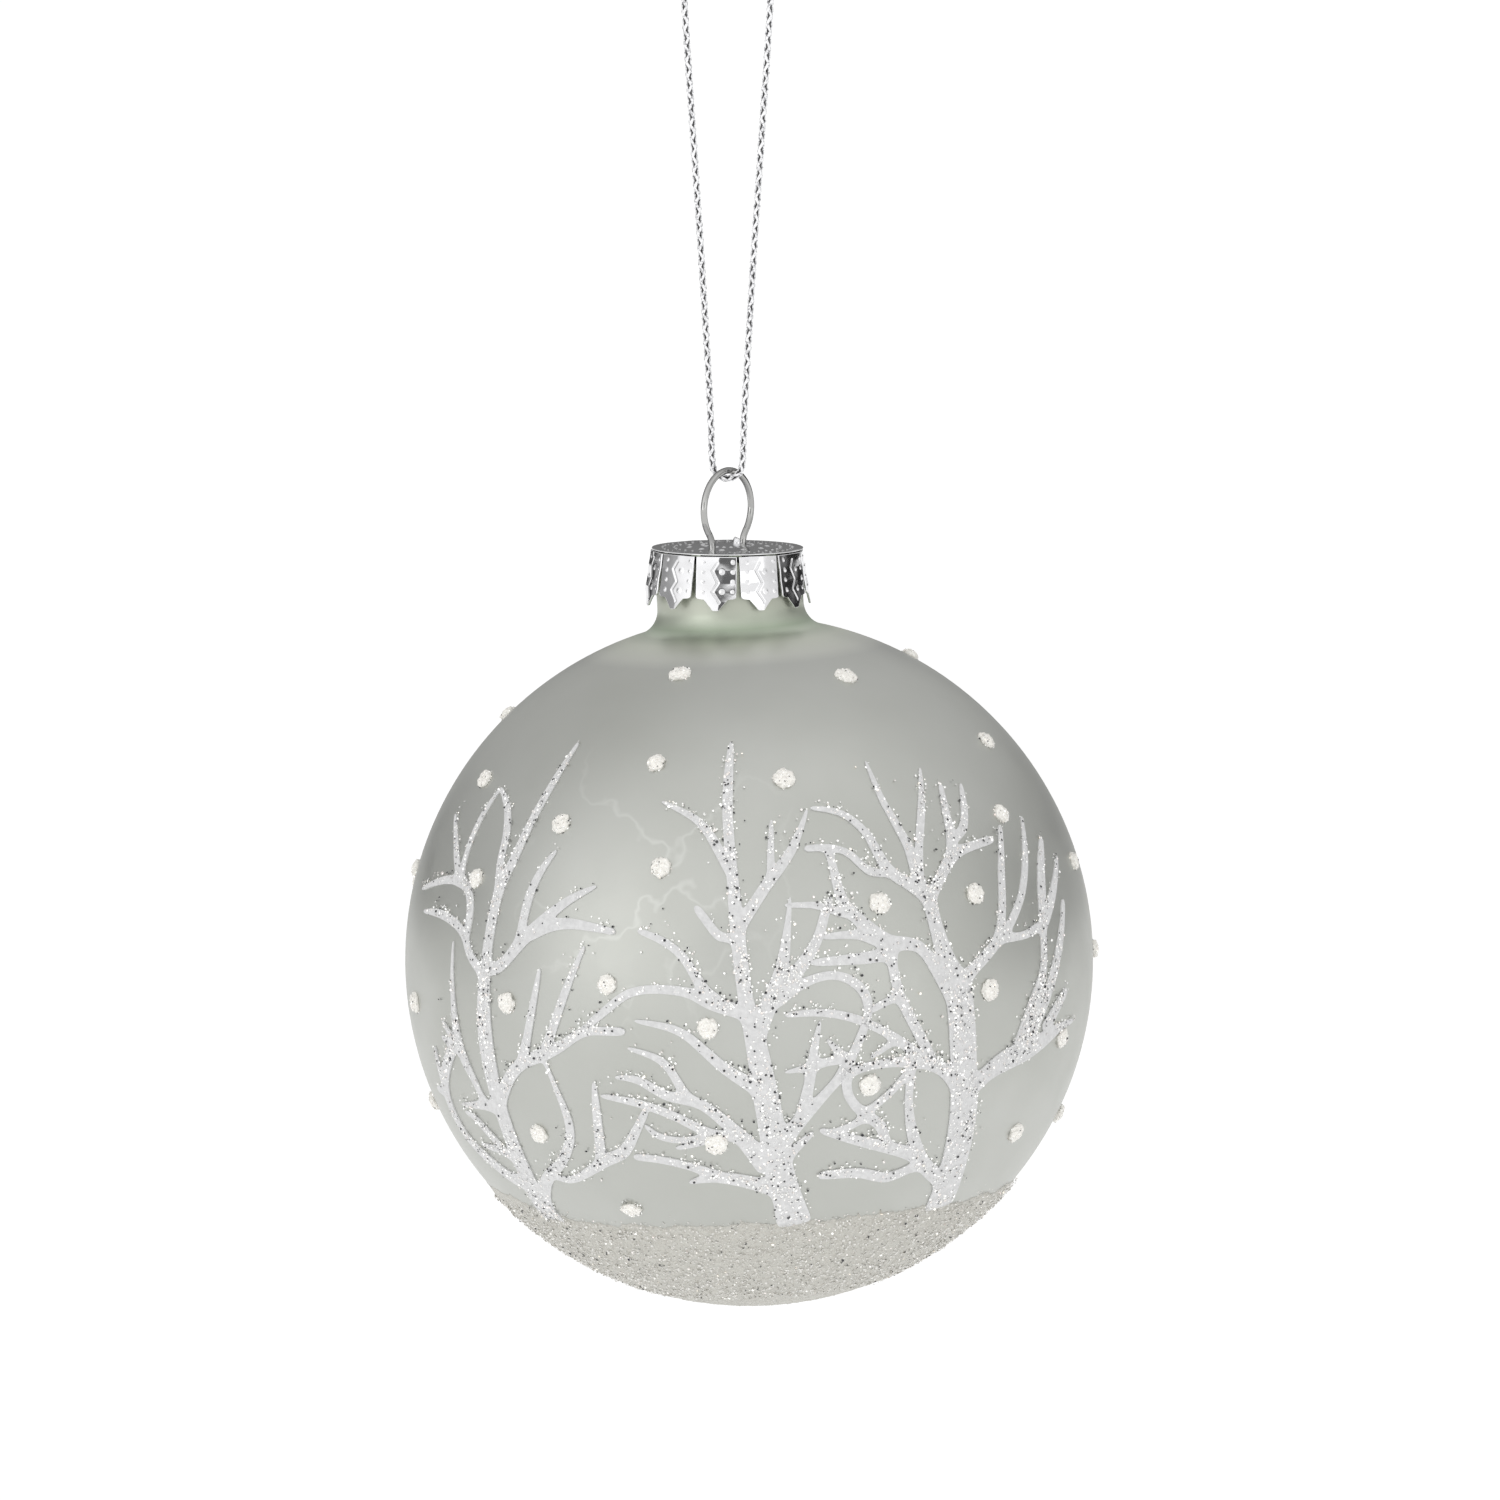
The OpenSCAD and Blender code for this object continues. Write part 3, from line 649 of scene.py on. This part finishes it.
def ball_outline(radius, neck, fillet):
    """Half outline from the bottom pole to the neck's top, as (r, z) in the ball's frame."""
    cx = neck + fillet
    cz = math.sqrt((radius + fillet) ** 2 - cx * cx)
    touch = math.atan2(cz, cx)
    points = []
    for i in range(97):
        a = -math.pi / 2 + (touch + math.pi / 2) * i / 96
        points.append((radius * math.cos(a), radius * math.sin(a)))
    for i in range(11, -1, -1):
        a = math.pi + touch * i / 12
        points.append((cx + fillet * math.cos(a), cz + fillet * math.sin(a)))
    top = BALL_DROP - LIP_DROP
    points += [(neck, cz + (top - cz) * k / 8) for k in range(1, 8)]
    return points


def make_ball(glass):
    """The blown shell with its neck and a melted lip."""
    columns = 192
    wall = GLASS_T
    outer = ball_outline(BALL_R, NECK_R, FILLET_R)
    inner = ball_outline(BALL_R - wall, NECK_R - wall, FILLET_R + wall)
    lip_r = wall / 2
    lip_z = BALL_DROP - LIP_DROP - lip_r
    lip = [(NECK_R - lip_r + lip_r * math.cos(a), lip_z + lip_r * math.sin(a))
           for a in (math.pi * k / 8 for k in range(9))]
    rings = outer[1:] + lip + inner[:0:-1]
    vertices = [BALL_FRAME @ Vector((r * math.cos(a), r * math.sin(a), z))
                for r, z in rings for a in (math.tau * j / columns for j in range(columns))]
    faces = []
    for i in range(len(rings) - 1):
        for j in range(columns):
            a, b = i * columns + j, i * columns + (j + 1) % columns
            faces.append((a, b, b + columns, a + columns))
    poles = len(vertices)
    vertices += [BALL_FRAME @ Vector((0, 0, -BALL_R)), BALL_FRAME @ Vector((0, 0, wall - BALL_R))]
    last = (len(rings) - 1) * columns
    for j in range(columns):
        following = (j + 1) % columns
        faces.append((poles, following, j))
        faces.append((poles + 1, last + j, last + following))
    ball = make_object("glass_ball_blown", vertices, faces, [glass])
    foot_z = 0.9 * BALL_R
    # The middle of the patch of paler squiggle lines.
    pale_lines_middle = TO_BALL @ on_ball(-18, 22, BALL_R)
    neck, pale_lines = [], []
    for v in ball.data.vertices:
        co = TO_BALL @ v.co
        neck.append(min(1.0, max(0.0, (co.z - foot_z) / (BALL_DROP - foot_z))))
        pale_lines.append(0.4 * max(0.0, 1 - (co - pale_lines_middle).length / (19 * MM)) ** 0.5)
    ball.data.attributes.new("neck", "FLOAT", "POINT").data.foreach_set("value", neck)
    ball.data.attributes.new("pale_lines", "FLOAT", "POINT").data.foreach_set("value", pale_lines)
    place(ball, "ball", "frosted_glass", "glass_ball")


# ---------------------------------------------------------------- print, snow and glitter

def paint_sheet(node, paint):
    """One printed tree: the CAD layer's outer faces, laid closely on the ball and rounded."""
    top_r = BALL_R + 0.14 * MM
    foot_r = BALL_R - 0.06 * MM
    source = bmesh.new()
    source.from_mesh(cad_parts[node].data)
    bmesh.ops.remove_doubles(source, verts=source.verts, dist=0.001 * MM)
    low = [f for f in source.faces
           if min((TO_BALL @ v.co).length for v in f.verts) < BALL_R - 0.05 * MM]
    bmesh.ops.delete(source, geom=low, context="FACES")
    for v in source.verts:
        v.co = (TO_BALL @ v.co).normalized() * top_r
    bmesh.ops.remove_doubles(source, verts=source.verts, dist=0.06 * MM)
    bmesh.ops.dissolve_degenerate(source, edges=source.edges, dist=0.02 * MM)
    for _ in range(3):
        long_edges = [e for e in source.edges if e.calc_length() > 0.7 * MM]
        if not long_edges:
            break
        bmesh.ops.subdivide_edges(source, edges=long_edges, cuts=1)
        bmesh.ops.triangulate(source, faces=[f for f in source.faces if len(f.verts) > 3])
    for _ in range(3):
        rims = [v for v in source.verts if v.is_boundary]
        moves = []
        for v in rims:
            near = [e.other_vert(v).co for e in v.link_edges if e.is_boundary]
            if len(near) == 2:
                moves.append((v, v.co.lerp((near[0] + near[1]) / 2, 0.5)))
        for v, co in moves:
            v.co = co
    for v in source.verts:
        v.co = v.co.normalized() * top_r
    bmesh.ops.recalc_face_normals(source, faces=source.faces)
    outward = sum(f.normal.dot(f.calc_center_median()) for f in source.faces)
    if outward < 0:
        bmesh.ops.reverse_faces(source, faces=source.faces)
    source.verts.index_update()
    tops = [v.co.copy() for v in source.verts]
    count = len(tops)
    vertices = [BALL_FRAME @ p for p in tops]
    vertices += [BALL_FRAME @ (p.normalized() * foot_r) for p in tops]
    faces = []
    for f in source.faces:
        corner = [v.index for v in f.verts]
        faces.append(tuple(corner))
        faces.append(tuple(count + i for i in reversed(corner)))
    for e in source.edges:
        if e.is_boundary:
            loop = e.link_loops[0]
            a, b = loop.vert.index, loop.link_loop_next.vert.index
            faces.append((b, a, count + a, count + b))
    source.free()
    piece = make_object(node + "_paint", vertices, faces, [paint], smooth=False)
    place(piece, "ball", "print_paint", node)
    return piece


def flake(rng, at, out, size, tilt, vertices, faces, tones, tone):
    """One glitter flake: a thin five-sided plate at a point, leaning at random."""
    spin = Vector((rng.gauss(0, 1), rng.gauss(0, 1), rng.gauss(0, 1))).normalized()
    normal = (out + tilt * spin).normalized()
    side = normal.orthogonal().normalized()
    side.rotate(Matrix.Rotation(rng.uniform(0, math.tau), 3, normal))
    other = normal.cross(side)
    first = len(vertices)
    for k in range(5):
        turn = math.tau * k / 5
        vertices.append(at + size * (math.cos(turn) * side + math.sin(turn) * other))
    thick = size * 0.35
    vertices.append(at + normal * thick)
    vertices.append(at - normal * thick)
    for k in range(5):
        a, b = first + k, first + (k + 1) % 5
        faces.append((first + 5, a, b))
        faces.append((first + 6, b, a))
    tones.extend([tone] * 10)


def glitter_piece(name, slot, material, vertices, faces, tones):
    """All the flakes of one area as a piece, each face with its flake's tone."""
    piece = make_object(name, vertices, faces, [material], smooth=False)
    piece.data.attributes.new("tone", "FLOAT", "FACE").data.foreach_set("value", tones)
    place(piece, "ball", slot)
    return piece


def tone_for(rng, dark_share, glint_share):
    """A flake's tone: dark below 0.2 (painted dark reflections), silver up to 0.84, glowing above
    (painted glints).
    """
    pick = rng.random()
    if pick < dark_share:
        return rng.uniform(0, 0.2)
    return rng.uniform(0.86, 1) if pick > 1 - glint_share else rng.uniform(0.23, 0.84)


def tree_glitter(name, sheets, count, seed, material):
    """Flakes strewn on the printed trees, most of them a little above and beside the print."""
    rng = random.Random(seed)
    tops, weights = [], []
    for sheet in sheets:
        for polygon in sheet.data.polygons:
            middle = TO_BALL @ polygon.center
            if len(polygon.vertices) == 3 and middle.length > BALL_R + 0.1 * MM:
                clumps = noise.noise(middle * 150) + 0.6 * noise.noise(middle * 500)
                weights.append(polygon.area * max(0.08, 0.75 + 1.1 * clumps))
                tops.append([TO_BALL @ sheet.data.vertices[i].co for i in polygon.vertices])
    vertices, faces, tones = [], [], []
    turn = BALL_FRAME.to_3x3()
    for a, b, c in rng.choices(tops, weights, k=count):
        u, v = rng.random(), rng.random()
        if u + v > 1:
            u, v = 1 - u, 1 - v
        point = a + u * (b - a) + v * (c - a)
        stray = 3.5 if rng.random() < 0.1 else 1
        lift = max(0.0, rng.gauss(0.45, 0.35 * stray)) * MM
        point = point + Vector((rng.gauss(0.1, 0.28 * stray) * MM, 0, lift))
        out = point.normalized()
        at = BALL_FRAME @ (out * (BALL_R + rng.uniform(0.1, 0.3) * MM))
        flake(rng, at, turn @ out, rng.triangular(0.06, 0.2, 0.09) * MM, 0.45, vertices, faces,
              tones, tone_for(rng, 0.17, 0.14))
    return glitter_piece(name, "glitter_snow", material, vertices, faces, tones)


def snow_radius(lon, lat):
    """Distance from the ball's middle to the coarse surface of the snow coat."""
    spot = Vector((math.cos(math.radians(lat)) * math.cos(math.radians(lon)),
                   math.cos(math.radians(lat)) * math.sin(math.radians(lon)),
                   math.sin(math.radians(lat))))
    grain = 0.7 * noise.noise(spot * 130) + 0.7 * noise.noise(spot * 240)
    return BALL_R + SNOW_T * (0.56 + 0.4 * max(-0.9, min(0.9, grain)))


def edge_lat(lon):
    """The ragged top edge of the snow coat, in degrees of latitude, heaped up at one side."""
    a = math.radians(lon)
    spot = Vector((math.cos(a), math.sin(a), 0))
    heap_lon, heap_width, heap_rise = -78, 42, 5.5
    heaped = max(0.0, 1 - abs((lon + 180) % 360 - 180 - heap_lon) / heap_width)
    ragged = 0.9 * noise.noise(spot * 9) + 0.7 * noise.noise(spot * 60)
    return SNOW_LAT - 0.4 + ragged + heap_rise * heaped * heaped * (3 - 2 * heaped)


def make_snow_coat(material):
    """The granular coat round the bottom."""
    columns, rows, edge_rows = 420, 88, 5
    inner_r = BALL_R - 0.08 * MM
    outer, inner = [], []
    for i in range(rows):
        share = i / rows
        for j in range(columns):
            lon = 360 * j / columns
            top = edge_lat(lon)
            lat = top + (-90 - top) * share
            radius = snow_radius(lon, lat)
            if i < edge_rows:
                radius = BALL_R + 0.02 * MM + (radius - BALL_R) * (i / edge_rows) ** 1.5
            outer.append(on_ball(lon, lat, radius))
            inner.append(on_ball(lon, lat, inner_r))
    count = rows * columns
    vertices = outer + inner
    faces = []
    for i in range(rows - 1):
        for j in range(columns):
            a, b = i * columns + j, i * columns + (j + 1) % columns
            faces.append((a, a + columns, b + columns, b))
            faces.append((count + a, count + b, count + b + columns, count + a + columns))
    for j in range(columns):
        following = (j + 1) % columns
        faces.append((j, following, count + following, count + j))
    pole = len(vertices)
    vertices += [on_ball(0, -90, BALL_R + SNOW_T * 0.6), on_ball(0, -90, inner_r)]
    last = (rows - 1) * columns
    for j in range(columns):
        following = (j + 1) % columns
        faces.append((pole, last + following, last + j))
        faces.append((pole + 1, count + last + j, count + last + following))
    coat = make_object("snow_base_coat", vertices, faces, [material])
    place(coat, "ball", "glitter_snow", "snow_base")


def make_snow_flakes(glitter):
    """Loose flakes on the coat, thinning out just above its edge and sunk in under the ball."""
    rng = random.Random(41)
    vertices, faces, tones = [], [], []
    for _ in range(16000):
        lon = rng.uniform(0, 360)
        lat = -math.degrees(math.asin(rng.uniform(math.sin(math.radians(39.5)), 1)))
        above = lat - edge_lat(lon)
        if above > 0 and rng.random() > 0.9 * math.exp(-above / 0.5):
            continue
        lift = rng.uniform(0, 0.2) * MM if lat > -70 else -0.12 * MM
        at = on_ball(lon, lat, snow_radius(lon, lat) + lift if above < 0 else BALL_R)
        out = (at - BALL_MIDDLE).normalized()
        flake(rng, at, out, rng.triangular(0.06, 0.2, 0.09) * MM, 0.6, vertices, faces, tones,
              tone_for(rng, 0.04, 0.04))
    glitter_piece("snow_base_glitter", "glitter_snow", glitter, vertices, faces, tones)


def make_dots(material, glitter):
    """Raised blobs of glittered glue where the CAD dots stand."""
    source = bmesh.new()
    source.from_mesh(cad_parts["snow_dots"].data)
    bmesh.ops.remove_doubles(source, verts=source.verts, dist=0.002 * MM)
    seen = set()
    rng = random.Random(7)
    vertices, faces = [], []
    flakes, flake_faces, tones = [], [], []
    for start in source.verts:
        if start in seen:
            continue
        island, frontier = [], [start]
        while frontier:
            v = frontier.pop()
            if v in seen:
                continue
            seen.add(v)
            island.append(v)
            frontier += [e.other_vert(v) for e in v.link_edges if e.other_vert(v) not in seen]
        middle = sum((v.co for v in island), Vector()) / len(island)
        out = (middle - BALL_MIDDLE).normalized()
        radius = max((v.co - middle).cross(out).length for v in island)
        height = max((v.co - BALL_MIDDLE).dot(out) for v in island) - BALL_R
        add_blob(rng, out, radius, height, vertices, faces)
        side = out.orthogonal().normalized()
        other = out.cross(side)
        for _ in range(46):
            turn, share = rng.uniform(0, math.tau), math.sqrt(rng.random()) * 1.12
            rise = height * math.sqrt(max(0.0, 1 - share * share)) * 0.9
            spot = (out + radius * share / BALL_R * (math.cos(turn) * side
                                                     + math.sin(turn) * other)).normalized()
            flake(rng, BALL_MIDDLE + spot * (BALL_R + rise), spot, rng.uniform(0.08, 0.17) * MM,
                  0.8, flakes, flake_faces, tones, tone_for(rng, 0.12, 0.12))
    source.free()
    blobs = make_object("snow_dot_blobs", vertices, faces, [material])
    place(blobs, "ball", "snow_blobs", "snow_dots")
    glitter_piece("snow_dot_glitter", "snow_blobs", glitter, flakes, flake_faces, tones)


def add_blob(rng, out, radius, height, vertices, faces):
    """One lumpy dome of glue on the ball, closed underneath."""
    rows, columns = 9, 30
    side = UP.cross(out).normalized()
    other = out.cross(side) * (0.65 if out.z < -0.6 else 1)
    first = len(vertices)
    seed = Vector((rng.uniform(0, 50), rng.uniform(0, 50), rng.uniform(0, 50)))
    for i in range(rows):
        lat = math.pi / 2 * (i + 1) / rows
        for j in range(columns):
            turn = math.tau * j / columns
            dent = seed + 2.4 * Vector((math.cos(turn) * math.sin(lat),
                                        math.sin(turn) * math.sin(lat), math.cos(lat)))
            lump = 1 + 0.22 * noise.noise(dent) + 0.16 * noise.noise(dent * 2.7)
            reach = radius * math.sin(lat) * lump
            rise = height * math.cos(lat) ** 0.7 * lump * 0.92 if i < rows - 1 else -0.1 * MM
            spot = (out + reach / BALL_R * (math.cos(turn) * side + math.sin(turn) * other))
            vertices.append(BALL_MIDDLE + spot.normalized() * (BALL_R + rise))
    for i in range(rows - 1):
        for j in range(columns):
            a, b = first + i * columns + j, first + i * columns + (j + 1) % columns
            faces.append((a, a + columns, b + columns, b))
    top = len(vertices)
    vertices.append(BALL_MIDDLE + out * (BALL_R + height * 0.9))
    vertices.append(BALL_MIDDLE + out * (BALL_R - 0.15 * MM))
    for j in range(columns):
        following = (j + 1) % columns
        faces.append((top, first + j, first + following))
        faces.append((top + 1, first + (rows - 1) * columns + following,
                      first + (rows - 1) * columns + j))


# ---------------------------------------------------------------- stage

# The soft light's brightness is the product of these. Each goes from its dark value to its
# bright one as the ray's closeness to a direction, as a cosine, goes from low to high.
GLOWS = [  # direction, low, high, dark, bright
    ((0.12, -0.98, 0.0), -0.4, 0.95, 0.56, 1.31),            # whiter in front
    ((-0.94, -0.3, 0.1), 0.8, 1.0, 1.0, 1.45),               # from the left
    ((0, 0.45, 0.89), 0.1, 0.95, 1.0, 1.4),                  # from above and behind
    ((0.61, 0.18, 0.77), 0.75, 1.0, 1.0, 1.18),
    ((-0.77, -0.29, 0.55), 0.78, 1.0, 1.0, 1.22),
    ((-0.45, -0.88, 0.15), 0.7, 1.0, 1.0, 1.25)]
# Flags and lamps of the studio, as the cap's tabs and the wire mirror them.
PATCHES = [  # direction, half width in degrees, brightness
    ((0.915, 0.40, 0.03), 16, 0.05), ((-0.55, 0.835, -0.04), 17, 0.12),
    ((0.5, 0.86, 0.05), 15, 0.4), ((-0.10, -0.98, 0.16), 10, 0.12),
    ((-0.99, 0.05, 0.09), 10, 0.6), ((0, 0.99, 0.15), 18, 0.36),
    ((0.7, -0.71, 0), 14, 1.8), ((-0.7, -0.71, 0), 14, 1.8)]
PATCH_CORE = 0.6                          # the share of a patch's width that is at its full level


def make_floor():
    """A pale floor far below."""
    half_size, level = 12.0, -0.6
    corners = [(-half_size, -half_size, level), (half_size, -half_size, level),
               (half_size, half_size, level), (-half_size, half_size, level)]
    material, _, shader = new_material("pale_floor", (0.95, 0.95, 0.95), 0.9)
    shader.inputs["Emission Color"].default_value = (1, 1, 1, 1)
    shader.inputs["Emission Strength"].default_value = 0.265
    floor = make_object("floor", corners, [(0, 1, 2, 3)], [material])


def facing(tree, ray, direction, low, high, dark, bright):
    """Brightness by how nearly a ray points in a direction."""
    dot = tree.nodes.new("ShaderNodeVectorMath")
    dot.operation = "DOT_PRODUCT"
    dot.inputs[1].default_value = Vector(direction).normalized()
    tree.links.new(ray, dot.inputs[0])
    span = tree.nodes.new("ShaderNodeMapRange")
    span.interpolation_type = "SMOOTHSTEP"
    span.inputs["From Min"].default_value = low
    span.inputs["From Max"].default_value = high
    span.inputs["To Min"].default_value = dark
    span.inputs["To Max"].default_value = bright
    tree.links.new(dot.outputs["Value"], span.inputs["Value"])
    return span.outputs["Result"]


def make_light():
    """Soft studio light all round, white where the camera looks past the floor."""
    bpy.context.scene.view_settings.view_transform = "Standard"
    world = bpy.data.worlds.new("studio")
    bpy.context.scene.world = world
    world.use_nodes = True
    tree = world.node_tree
    nodes, links = tree.nodes, tree.links
    nodes.clear()
    output = nodes.new("ShaderNodeOutputWorld")
    soft = nodes.new("ShaderNodeBackground")
    white = nodes.new("ShaderNodeBackground")
    white.inputs["Color"].default_value = (1, 1, 1, 1)
    chosen = nodes.new("ShaderNodeMixShader")
    rays = nodes.new("ShaderNodeLightPath")
    links.new(rays.outputs["Is Camera Ray"], chosen.inputs["Fac"])
    links.new(soft.outputs["Background"], chosen.inputs[1])
    links.new(white.outputs["Background"], chosen.inputs[2])
    links.new(chosen.outputs["Shader"], output.inputs["Surface"])

    ray = nodes.new("ShaderNodeTexCoord").outputs["Generated"]
    shades = [facing(tree, ray, *glow) for glow in GLOWS]
    for direction, width, level in PATCHES:
        rim = math.cos(math.radians(width))
        core = math.cos(math.radians(PATCH_CORE * width))
        shades.append(facing(tree, ray, direction, rim, core, 1.0, level))
    total = shades[0]
    for shade in shades[1:]:
        product = nodes.new("ShaderNodeMath")
        product.operation = "MULTIPLY"
        links.new(total, product.inputs[0])
        links.new(shade, product.inputs[1])
        total = product.outputs["Value"]
    links.new(total, soft.inputs["Strength"])


make_camera()
make_cord()
make_knot()
make_wire(metal_material("wire_steel", (0.45, 0.45, 0.44), 0.05, 0.12, 300, edge=0.0))
make_cap(metal_material("cap_chrome", (0.80, 0.80, 0.81), 0.05, 0.16, 700))
make_ball(glass_material())
paint = paint_material()
glitter = glitter_material("glitter_flake", (0.86, 0.80, 0.76), (0.98, 0.98, 0.96), 0.25)
coat_glitter = glitter_material("coat_flake", (0.62, 0.59, 0.55), (0.76, 0.75, 0.72), 0.4)
front = [paint_sheet("tree_front_" + side, paint) for side in ("left", "middle", "right")]
back = [paint_sheet("tree_back_" + side, paint) for side in ("left", "middle", "right")]
tree_glitter("tree_front_glitter", front, 9000, 11, glitter)
tree_glitter("tree_back_glitter", back, 9000, 12, glitter)
make_snow_coat(snow_material("snow_coat", (0.505, 0.50, 0.465), (0.58, 0.575, 0.535)))
make_snow_flakes(coat_glitter)
make_dots(snow_material("snow_blob", (0.86, 0.85, 0.81), (0.97, 0.96, 0.93)), glitter)
make_floor()
make_light()
